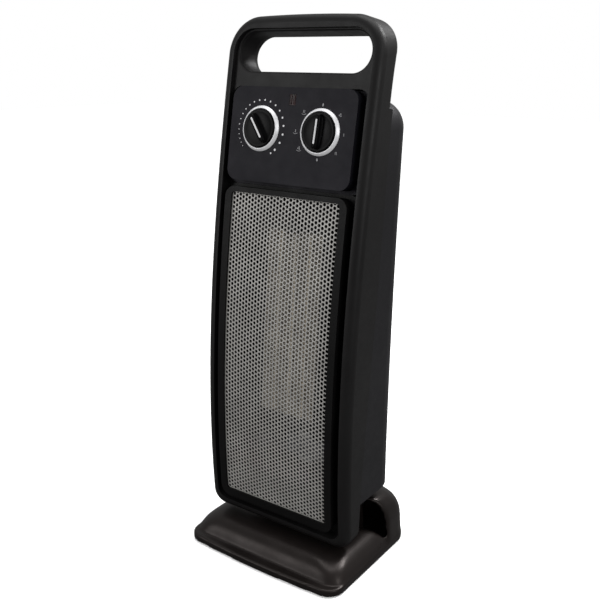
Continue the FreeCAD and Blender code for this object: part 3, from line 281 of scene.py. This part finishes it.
GROUND = metal("ground_steel", (0.52, 0.52, 0.53), (0.68, 0.68, 0.68), 0.22, (1, 1, 10))
# Very dark steel. On the fan's top bracket and the thermal cutout this darkness is painted shade
# for the dim inside of the heater; the fan wheel shares the material.
DARK_STEEL_PAINTED_SHADE = metal("dark_steel_painted_shade", (0.02, 0.02, 0.021), (0.045, 0.044, 0.043), 0.5,
                  (1, 1, 8))
SCREW = metal("screw_steel", (0.20, 0.20, 0.21), (0.34, 0.34, 0.35), 0.36, (6, 6, 6))
COPPER = metal("winding_copper", (0.42, 0.16, 0.06), (0.62, 0.27, 0.11), 0.3,
               (0.4, 14, 14), 0.0002, 120.0)
BRONZE = metal("sintered_bronze", (0.34, 0.22, 0.10), (0.46, 0.32, 0.16), 0.45, (4, 4, 4), 0.00004)
FIN = moulded("fin_foil", (0.66, 0.61, 0.53), (0.82, 0.77, 0.68), 0.4, 500.0, 0.00003, 0.5)
MESH_PAINT = grille_paint()
SILVER = satin_silver()
WHITE = marking_ink("white_ink", (0.66, 0.66, 0.67), (0.82, 0.82, 0.83))
GREY_INK = marking_ink("grey_ink", (0.20, 0.20, 0.21), (0.30, 0.30, 0.31))
LENS = red_lens()
CERAMIC = fired_ceramic()
GLASS = lamp_glass()

NODE_FINISH = {
    "front_frame": BODY, "rear_casing": SHELL, "control_panel": PANEL, "grille_frame": BEZEL,
    "base_cover": BASE, "base_plate": UNDER, "rubber_feet": RUBBER, "cord_gland": RUBBER,
    "swing_bearing_ring": NYLON, "spindle_bush": NYLON, "swing_spindle": UNDER,
    "swing_crank": NYLON, "tilt_plunger": NYLON, "tilt_switch": THERMOSET,
    "terminal_block": THERMOSET, "thermostat_unit": THERMOSET, "selector_switch": THERMOSET,
    "swing_motor": PLATED, "swing_motor_bracket": PLATED, "swing_lever": PLATED,
    "control_bracket": PLATED, "motor_bracket_lower": PLATED, "motor_bracket_upper": PLATED,
    # The fan's top bracket and the thermal cutout take the dark steel as painted shade.
    "fan_top_bracket": DARK_STEEL_PAINTED_SHADE, "motor_core": LAMINATED, "motor_rotor": LAMINATED,
    "fan_shaft": GROUND, "base_screws": SCREW, "casing_screws": SCREW, "panel_screws": SCREW,
    "motor_coil": COPPER, "fan_bush": BRONZE, "fan_wheel": DARK_STEEL_PAINTED_SHADE, "thermal_cutout": DARK_STEEL_PAINTED_SHADE,
    "heater_stones": CERAMIC, "heater_holder": HEAT, "air_guide": HEAT, "air_duct_walls": HEAT,
    "neon_lamp": GLASS, "thermostat_pointer": WHITE, "selector_pointer": WHITE,
    "grille_mesh": MESH_PAINT, "heater_fins": FIN, "indicator_lens": LENS,
    "thermostat_knob": KNOB, "selector_knob": KNOB,
    "thermostat_ring": SILVER, "selector_ring": SILVER,
}


def finish_nodes():
    """Give every CAD piece its own finish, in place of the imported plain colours."""
    for name, node in NODES.items():
        node.data.materials.clear()
        node.data.materials.append(NODE_FINISH[name])


# ---- mesh helpers ---------------------------------------------------------------------------

AXIS_GAP = 0.01


def linked(name, data):
    """A new object in the scene."""
    item = bpy.data.objects.new(name, data)
    bpy.context.scene.collection.objects.link(item)
    return item


def piece(name, points, faces, finish, smooth=True, sharp=35.0):
    """A closed mesh piece; points are in metres."""
    mesh = bpy.data.meshes.new(name)
    mesh.from_pydata(points, [], faces)
    work = bmesh.new()
    work.from_mesh(mesh)
    bmesh.ops.recalc_face_normals(work, faces=work.faces)
    work.to_mesh(mesh)
    work.free()
    mesh.materials.append(finish)
    for face in mesh.polygons:
        face.use_smooth = smooth
    if smooth:
        mesh.set_sharp_from_angle(angle=math.radians(sharp))
    return linked(name, mesh)


class Build:
    """Collects points and faces of one piece, in millimetres of its own frame."""

    def __init__(self, matrix=None):
        self.matrix = matrix or Matrix()
        self.points = []
        self.faces = []

    def add(self, points, faces, shift=(0, 0, 0)):
        first = len(self.points)
        offset = Vector(shift)
        self.points += [self.matrix @ ((Vector(point) + offset) * MM) for point in points]
        self.faces += [[first + index for index in face] for face in faces]

    def lathe(self, profile, count=96):
        """A closed profile of (radius, height) points, turned round local Z."""
        points = []
        for radius, height in profile:
            for number in range(count):
                angle = 2 * math.pi * number / count
                points.append((radius * math.cos(angle), radius * math.sin(angle), height))
        rows = len(profile)
        faces = []
        for row in range(rows):
            here = row * count
            after = (row + 1) % rows * count
            for number in range(count):
                beside = (number + 1) % count
                faces.append((here + number, here + beside, after + beside, after + number))
        self.add(points, faces)

    def loft(self, sections):
        """Stacked closed sections of equal point count, capped at both ends."""
        count = len(sections[0])
        points = [point for section in sections for point in section]
        faces = [tuple(range(count)), tuple(range(len(points) - count, len(points)))]
        for row in range(len(sections) - 1):
            for number in range(count):
                beside = (number + 1) % count
                faces.append((row * count + number, row * count + beside,
                              (row + 1) * count + beside, (row + 1) * count + number))
        self.add(points, faces)

    def done(self, name, finish, sharp=35.0):
        return piece(name, self.points, self.faces, finish, sharp=sharp)


def disc_profile(*outline):
    """The outline of a solid of revolution, its ends kept just off the axis."""
    return [(max(radius, AXIS_GAP), height) for radius, height in outline]


# ---- the perforated sheet -------------------------------------------------------------------

HOLE_COLUMNS = 33
HOLE_PITCH = 4.0
HOLE_RADIUS = 1.6
SHEET_THICK = 0.8
SHEET_HALF = 59.8
SHEET_REACH = 148.0
SIDES = 12
MARGIN_HALF = 56.9
MARGIN_REACH = 145.6
MARGIN_LEVELS = (-0.15, -SHEET_THICK + 0.1)
MARGIN_STATIONS = 40


def perforated_sheet():
    """The grille: staggered round holes punched through one bowed sheet."""
    column_step = HOLE_PITCH * math.sqrt(3) / 2
    rows = int(SHEET_REACH / HOLE_PITCH)
    points = []
    faces = []
    shared = {}

    def shared_point(x, down, out):
        key = (round(x, 2), round(down, 2), out)
        if key not in shared:
            shared[key] = len(points)
            points.append(on_front(x, round(down, 3), out))
        return shared[key]

    for column in range(HOLE_COLUMNS):
        x = (column - HOLE_COLUMNS // 2) * column_step
        stagger = HOLE_PITCH / 2 if column % 2 else 0.0
        for row in range(-rows, rows + 1):
            down = row * HOLE_PITCH + stagger
            if abs(down) > SHEET_REACH - HOLE_PITCH / 2:
                continue
            rings = {}
            for out in (0.0, -SHEET_THICK):
                outer = []
                inner = []
                for side in range(SIDES):
                    angle = 2 * math.pi * side / SIDES
                    reach = HOLE_PITCH / 2 if side % 2 else HOLE_PITCH / math.sqrt(3)
                    outer.append(shared_point(x + reach * math.cos(angle),
                                              down + reach * math.sin(angle), out))
                    inner.append(len(points))
                    points.append(on_front(x + HOLE_RADIUS * math.cos(angle),
                                           round(down + HOLE_RADIUS * math.sin(angle), 3), out))
                rings[out] = (outer, inner)
            for side in range(SIDES):
                beside = (side + 1) % SIDES
                for outer, inner in rings.values():
                    faces.append((outer[side], outer[beside], inner[beside], inner[side]))
                front, back = rings[0.0][1], rings[-SHEET_THICK][1]
                faces.append((front[side], front[beside], back[beside], back[side]))
    sheet = piece("perforated_grille", points, faces, MESH_PAINT, sharp=50.0)
    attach(sheet, "housing")
    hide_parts("grille_mesh")


def grille_border():
    """The plain margin of the sheet, tucked under the grille frame."""
    build = Build()
    points = []
    faces = []
    shares = [1 - 2 * number / MARGIN_STATIONS for number in range(MARGIN_STATIONS + 1)]
    for half, reach in ((SHEET_HALF, SHEET_REACH), (MARGIN_HALF, MARGIN_REACH)):
        outline = [(half, reach * share) for share in shares]
        outline += [(-half, -reach * share) for share in shares]
        for out in MARGIN_LEVELS:
            points += [on_front(x, down, out) / MM for x, down in outline]
    count = len(outline)
    order = (0, 2, 3, 1)    # outer front, inner front, inner back, outer back
    for here, after in zip(order, order[1:] + order[:1]):
        for number in range(count):
            beside = (number + 1) % count
            faces.append((here * count + number, here * count + beside,
                          after * count + beside, after * count + number))
    build.add(points, faces)
    border = build.done("grille_margin", MESH_PAINT)
    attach(border, "housing")


# ---- the base cover, with the soft transitions of a moulding ---------------------------------

SKIRT_TOP = 0.0095
PIVOT = Vector((0, 12, 0)) * MM
KEPT_ROUND_PIVOT = 0.029
VOXEL = 0.0014
SOFT_TURNS, SOFT_SHARE = 16, 0.5
EVEN_TURNS, EVEN_SHARE = 2, 0.4


def softened_base():
    """The base cover's own shape, its edges above the skirt blended into each other."""
    source = NODES["base_cover"]
    blank = linked("base_blank", source.data.copy())
    blank.matrix_world = source.matrix_world.copy()
    grid = blank.modifiers.new("grid", "REMESH")
    grid.mode = "VOXEL"
    grid.voxel_size = VOXEL
    bpy.context.view_layer.update()
    seen = blank.evaluated_get(bpy.context.evaluated_depsgraph_get())
    mesh = bpy.data.meshes.new_from_object(seen)
    mesh.transform(source.matrix_world)
    bpy.data.objects.remove(blank)

    work = bmesh.new()
    work.from_mesh(mesh)
    soft = [vert for vert in work.verts
            if vert.co.z > SKIRT_TOP and (vert.co - PIVOT).xy.length > KEPT_ROUND_PIVOT]
    for turns, share, verts in ((SOFT_TURNS, SOFT_SHARE, soft),
                                (EVEN_TURNS, EVEN_SHARE, work.verts)):
        for _ in range(turns):
            bmesh.ops.smooth_vert(work, verts=verts, factor=share, use_axis_x=True,
                                  use_axis_y=True, use_axis_z=True)
    work.to_mesh(mesh)
    work.free()
    mesh.materials.clear()
    mesh.materials.append(BASE)
    for face in mesh.polygons:
        face.use_smooth = True
    made = linked("base_moulding", mesh)
    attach(made, "base")
    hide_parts("base_cover")


# ---- knobs, rings and dial markings ---------------------------------------------------------

KNOB_DOWN = -202.6
KNOB_X = 31.0
KNOB_LEVEL = PANEL_OUT + 0.6
SPINS = {"thermostat": -36.0, "selector": 2.5}
GRIP_HALF_LONG = 14.3
GRIP_SECTIONS = 22
GRIP_END_WIDTH = 0.35
LINE_HALF_WIDE = 0.8
LINE_HALF_LONG = 9.4
LINE_LEVELS = (6.75, 7.05, 7.2)
LINE_END_SIDES = 8
SCALE_RADIUS = 24.4
SCALE_DOTS = 21
SCALE_LAST_DOT = (147.0, 0.75)
INK_LEVELS = (-0.02, 0.03)
LENS_DOWN = -228.0
LENS_SUNK = 2.6
LENS_HALF = (3.35, 4.55)
LENS_CORNER = 0.8
RIB_X = 1.7


def knob_grip(build):
    """The finger ridge: waisted flanks, round ends and a rounded top."""
    sections = []
    for number in range(GRIP_SECTIONS + 1):
        share = -math.cos(math.pi * number / GRIP_SECTIONS)
        y = GRIP_HALF_LONG * share
        fade = max(1 - abs(share) ** 6, 0.0) ** 0.5
        width = GRIP_END_WIDTH + (1 - GRIP_END_WIDTH) * fade
        foot, waist, crest = 4.0 * width, 2.7 * width, 2.9 * width
        top = 5.6 + 1.35 * fade
        section = [(-foot, y, 1.6), (-foot * 0.9, y, 2.9), (-waist, y, 3.9)]
        section += [(-crest, y, top - 1.0), (-crest * 0.8, y, top - 0.25), (0, y, top)]
        section += [(crest * 0.8, y, top - 0.25)]
        section += [(crest, y, top - 1.0), (waist, y, 3.9), (foot * 0.9, y, 2.9), (foot, y, 1.6)]
        sections.append(section)
    build.loft(sections)


def knob(name, side):
    """A dial knob with its grip, shaft and white line."""
    matrix = front_matrix(side * KNOB_X, KNOB_DOWN, KNOB_LEVEL, SPINS[name])
    build = Build(matrix)
    build.lathe(disc_profile((0, 0), (15.6, 0), (16.15, 0.25), (16.4, 0.8), (16.4, 2.1),
                             (16.2, 2.65), (15.7, 2.95), (15.0, 3.0), (13.6, 2.7), (11, 2.2),
                             (7, 2.0), (0, 2.0)))
    knob_grip(build)
    build.lathe(disc_profile((0, -25.5), (2.6, -25.5), (3.0, -25.0), (3.0, 0.2), (0, 0.2)), 32)
    made = build.done(name + "_dial_knob", KNOB, sharp=50.0)
    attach(made, name + "_knob")
    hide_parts(name + "_knob")

    line = Build(matrix)
    rows = []
    for number in range(LINE_END_SIDES + 1):
        angle = math.pi * number / LINE_END_SIDES
        rows.append((LINE_HALF_WIDE * math.cos(angle),
                     LINE_HALF_LONG + LINE_HALF_WIDE * math.sin(angle)))
    outline = rows + [(-x, -y) for x, y in rows]
    foot, edge, top = LINE_LEVELS
    line.loft([[(x, y, foot) for x, y in outline], [(x, y, edge) for x, y in outline],
               [(x * 0.8, y * 0.985, top) for x, y in outline]])
    made = line.done(name + "_white_line", WHITE)
    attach(made, name + "_knob")
    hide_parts(name + "_pointer")


def silver_ring(name, side):
    """The bright ring round a knob."""
    build = Build(front_matrix(side * KNOB_X, KNOB_DOWN, PANEL_OUT + 0.1))
    build.lathe([(19.6, 0), (19.6, 0.2), (19.35, 0.6), (18.0, 2.2), (17.75, 2.45), (17.4, 2.58),
                 (17.1, 2.45), (17.0, 2.2), (17.0, 0)], 128)
    made = build.done(name + "_bezel_ring", SILVER, sharp=50.0)
    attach(made, "housing")
    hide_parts(name + "_ring")


def printed(build, outline):
    """A thin printed patch that stands just proud of the panel."""
    build.loft([[(x, y, level) for x, y in outline] for level in INK_LEVELS])


def dot_outline(x, y, radius, sides=20, squash=1.0):
    return [(x + radius * squash * math.cos(2 * math.pi * number / sides),
             y + radius * math.sin(2 * math.pi * number / sides)) for number in range(sides)]


def bar_outline(x, y, wide, tall, slant=0.0):
    half, reach = wide / 2, tall / 2
    return [(x - half - slant, y - reach), (x + half - slant, y - reach),
            (x + half + slant, y + reach), (x - half + slant, y + reach)]


def arc_strip(build, x, y, radius, start, end, wide):
    """A curved stroke, its angles in degrees from straight down."""
    steps = 10
    inner = []
    outer = []
    for number in range(steps + 1):
        angle = math.radians(start + (end - start) * number / steps)
        for store, reach in ((inner, radius - wide / 2), (outer, radius + wide / 2)):
            store.append((x + reach * math.sin(angle), y - reach * math.cos(angle)))
    printed(build, inner + outer[::-1])


def dial_dots():
    """The thermostat scale: dots that grow clockwise."""
    build = Build(front_matrix(-KNOB_X, KNOB_DOWN, PANEL_OUT))
    marks = [(-131 + 8.2 * step + 0.255 * step * step, 0.36 + 0.032 * step)
             for step in range(SCALE_DOTS)]
    marks.append(SCALE_LAST_DOT)
    for bearing, radius in marks:
        angle = math.radians(bearing)
        printed(build, dot_outline(SCALE_RADIUS * math.sin(angle),
                                   SCALE_RADIUS * math.cos(angle), radius))
    made = build.done("thermostat_scale", WHITE)
    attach(made, "housing")


def selector_marks():
    """Plain marks for off, fan, half and full heat, each without and with swing."""
    build = Build(front_matrix(KNOB_X, KNOB_DOWN, PANEL_OUT))

    def zero(x, y):
        printed(build, dot_outline(x, y, 1.35, squash=0.62))

    def fan(x, y):
        for blade in range(3):
            angle = math.radians(120 * blade + 20)
            printed(build, dot_outline(x + 0.95 * math.sin(angle),
                                       y + 0.95 * math.cos(angle), 0.62))

    def one(x, y):
        printed(build, bar_outline(x, y, 0.6, 2.4))

    def two(x, y):
        printed(build, bar_outline(x - 0.6, y, 0.5, 2.4))
        printed(build, bar_outline(x + 0.6, y, 0.5, 2.4))

    marks = [(1, 22.4, zero, False), (51, 23.4, fan, False), (92, 23.6, one, False),
             (132, 24.0, two, False), (180, 22.6, zero, False), (-126, 24.2, fan, True),
             (-90, 24.8, one, True), (-48, 24.2, two, True)]
    for bearing, reach, symbol, swings in marks:
        angle = math.radians(bearing)
        x, y = reach * math.sin(angle), reach * math.cos(angle)
        symbol(x, y)
        if swings:
            arc_strip(build, x, y + 1.2, 3.6, -38, 38, 0.45)
    made = build.done("selector_scale", GREY_INK)
    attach(made, "housing")


def lamp_lens():
    """The indicator: two upright ribs in a shallow dark red window."""
    build = Build(front_matrix(0, LENS_DOWN, PANEL_OUT - LENS_SUNK))
    half_wide, half_tall = LENS_HALF
    corners = []
    for cx, cy, start in ((1, 1, 0), (-1, 1, 90), (-1, -1, 180), (1, -1, 270)):
        for number in range(5):
            angle = math.radians(start + 22.5 * number)
            corners.append((cx * (half_wide - LENS_CORNER) + LENS_CORNER * math.cos(angle),
                            cy * (half_tall - LENS_CORNER) + LENS_CORNER * math.sin(angle)))
    build.loft([[(x, y, 0) for x, y in corners], [(x, y, 2.2) for x, y in corners],
                [(x * 0.95, y * 0.96, 2.45) for x, y in corners]])
    for side in (-1, 1):
        middle = side * RIB_X
        rib = [(middle + x * 0.33, y * 0.86) for x, y in corners]
        build.loft([[(x, y, 2.3) for x, y in rib], [(x, y, 2.75) for x, y in rib],
                    [(middle + (x - middle) * 0.6, y * 0.9, 2.95) for x, y in rib]])
    made = build.done("indicator_window", LENS)
    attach(made, "housing")
    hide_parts("indicator_lens")


# ---- heating element ------------------------------------------------------------------------

ELEMENT_DOWN = -28.0
ELEMENT_BEHIND = 31.0
ELEMENT_WIDE = 60.0
ELEMENT_TALL = 174.0
ELEMENT_DEEP = 14.0
STONE = 2.4
FIN_COLUMNS = 4
FOLDS = 96
FOIL = 0.18
FIN_SIDE = 0.3
FOLD_INSET_X, FOLD_INSET_Z = 0.05, 0.1


def heater_fins():
    """Corrugated aluminium strip between the ceramic stones."""
    build = Build(front_matrix(0, ELEMENT_DOWN, -ELEMENT_BEHIND))
    wide = (ELEMENT_WIDE - (FIN_COLUMNS - 1) * STONE) / FIN_COLUMNS
    foot, top, half_deep = -ELEMENT_TALL / 2, ELEMENT_TALL / 2, ELEMENT_DEEP / 2
    step = ELEMENT_TALL / FOLDS
    for column in range(FIN_COLUMNS):
        left = (column - (FIN_COLUMNS - 1) / 2) * (wide + STONE) - wide / 2
        for fold in range(FOLDS):
            base = foot + fold * step
            rise = step - FOIL if fold % 2 else 0.0
            ends = ((left + FOLD_INSET_X, base + step - FOIL - rise),
                    (left + wide - FOLD_INSET_X, base + rise))
            near, far = half_deep - FOLD_INSET_Z, -half_deep + FOLD_INSET_Z
            build.loft([[(x, y, far), (x, y, near), (x, y + FOIL, near), (x, y + FOIL, far)]
                        for x, y in ends])
        for side in (left, left + wide - FIN_SIDE):
            build.loft([[(side, foot, z), (side + FIN_SIDE, foot, z),
                         (side + FIN_SIDE, top, z), (side, top, z)]
                        for z in (-half_deep, half_deep)])
    made = build.done("corrugated_fins", FIN)
    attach(made, "housing")
    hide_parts("heater_fins")


# ---- stage, lights and camera ---------------------------------------------------------------

FLOOR_REACH = 6.0
WORLD_SEEN = 1.0
WORLD_LIT = 0.5
CAMERA_AZIMUTH, CAMERA_ELEVATION, CAMERA_ROLL = 35.29, 16.54, 0.40
CAMERA_PLACE = (0.413384, -0.581608, 0.459488)
CAMERA_LENS = 48.695
SENSOR_WIDTH = 36.0


def floor_paper():
    """Pale paper: it looks white, yet throws little light back at the black plastic."""
    made = Shader("floor_paper", 0.9, Specular_IOR_Level=0.05)
    tree = made.tree
    tone = made.noise(2.0)
    path = tree.nodes.new("ShaderNodeLightPath")
    pale = made.ramp(tone, (0.3, (0.92, 0.92, 0.92)), (0.7, (0.94, 0.94, 0.94)))
    dim = made.ramp(tone, (0.3, (0.13, 0.13, 0.13)), (0.7, (0.15, 0.15, 0.15)))
    mix = tree.nodes.new("ShaderNodeMix")
    mix.data_type = "RGBA"
    tree.links.new(path.outputs["Is Camera Ray"], mix.inputs[0])
    tree.links.new(dim, mix.inputs[MIX_COLOUR_A])
    tree.links.new(pale, mix.inputs[MIX_COLOUR_B])
    made.colour(mix.outputs[MIX_COLOUR_OUT])
    made.roughness(made.spread(tone, 0.85, 0.95))
    made.bump(made.noise(900.0), 0.00002)
    made.surface.inputs["Emission Color"].default_value = (1, 1, 1, 1)
    tree.links.new(made.spread(path.outputs["Is Camera Ray"], 0.0, 0.22, 0.0, 1.0),
                   made.surface.inputs["Emission Strength"])
    return made.material


def stage():
    """The paper floor, and a world that looks white but lights at half strength."""
    floor = bpy.data.meshes.new("floor")
    corners = [(x * FLOOR_REACH, y * FLOOR_REACH, 0)
               for x, y in ((-1, -1), (1, -1), (1, 1), (-1, 1))]
    floor.from_pydata(corners, [], [(0, 1, 2, 3)])
    floor.materials.append(floor_paper())
    item = linked("floor", floor)

    world = bpy.data.worlds.new("studio")
    bpy.context.scene.world = world
    world.use_nodes = True
    tree = world.node_tree
    tree.nodes.clear()
    output = tree.nodes.new("ShaderNodeOutputWorld")
    seen = tree.nodes.new("ShaderNodeBackground")
    lit = tree.nodes.new("ShaderNodeBackground")
    mix = tree.nodes.new("ShaderNodeMixShader")
    path = tree.nodes.new("ShaderNodeLightPath")
    seen.inputs["Color"].default_value = (1, 1, 1, 1)
    seen.inputs["Strength"].default_value = WORLD_SEEN
    lit.inputs["Color"].default_value = (1, 1, 1, 1)
    lit.inputs["Strength"].default_value = WORLD_LIT
    tree.links.new(path.outputs["Is Camera Ray"], mix.inputs["Fac"])
    tree.links.new(lit.outputs["Background"], mix.inputs[1])
    tree.links.new(seen.outputs["Background"], mix.inputs[2])
    tree.links.new(mix.outputs["Shader"], output.inputs["Surface"])
    bpy.context.scene.view_settings.view_transform = "Standard"


def softbox(name, place, aim, wide, tall, watts):
    """A rectangular area light that faces a point."""
    light = bpy.data.lights.new(name, "AREA")
    light.shape = "RECTANGLE"
    light.size = wide
    light.size_y = tall
    light.energy = watts
    item = linked(name, light)
    item.location = place
    item.rotation_euler = (Vector(aim) - Vector(place)).to_track_quat("-Z", "Y").to_euler()


def lights():
    """A soft overhead sun and three softboxes."""
    sun = bpy.data.lights.new("overhead", "SUN")
    sun.energy = 1.9
    sun.angle = math.radians(40)
    linked("overhead", sun).rotation_euler = (math.radians(-6), math.radians(-4), 0)
    aim = (0, 0, 0.3)
    softbox("front", (-0.9, -1.4, 0.75), aim, 0.7, 1.0, 8.5)
    softbox("crown", (0.55, 0.75, 1.35), (0.05, 0, 0.45), 0.35, 0.35, 18)
    softbox("right", (1.5, -0.5, 0.8), aim, 0.3, 0.8, 7)


def camera():
    """The main camera, to the right of the front and a little above it."""
    azimuth, elevation, roll = (math.radians(angle) for angle in
                                (CAMERA_AZIMUTH, CAMERA_ELEVATION, CAMERA_ROLL))
    back = Vector((math.sin(azimuth) * math.cos(elevation),
                   -math.cos(azimuth) * math.cos(elevation), math.sin(elevation)))
    right = Vector((math.cos(azimuth), math.sin(azimuth), 0))
    up = back.cross(right)
    rolled_right = right * math.cos(roll) + up * math.sin(roll)
    rolled_up = up * math.cos(roll) - right * math.sin(roll)
    data = bpy.data.cameras.new("camera")
    data.sensor_width = SENSOR_WIDTH
    data.lens = CAMERA_LENS
    data.clip_start = 0.05
    item = linked("camera", data)
    item.matrix_world = (Matrix.Translation(CAMERA_PLACE)
                         @ Matrix((rolled_right, rolled_up, back)).transposed().to_4x4())
    bpy.context.scene.camera = item


camera()
stage()
lights()
finish_nodes()
softened_base()
perforated_sheet()
grille_border()
for name, side in (("thermostat", -1), ("selector", 1)):
    knob(name, side)
    silver_ring(name, side)
dial_dots()
selector_marks()
lamp_lens()
heater_fins()
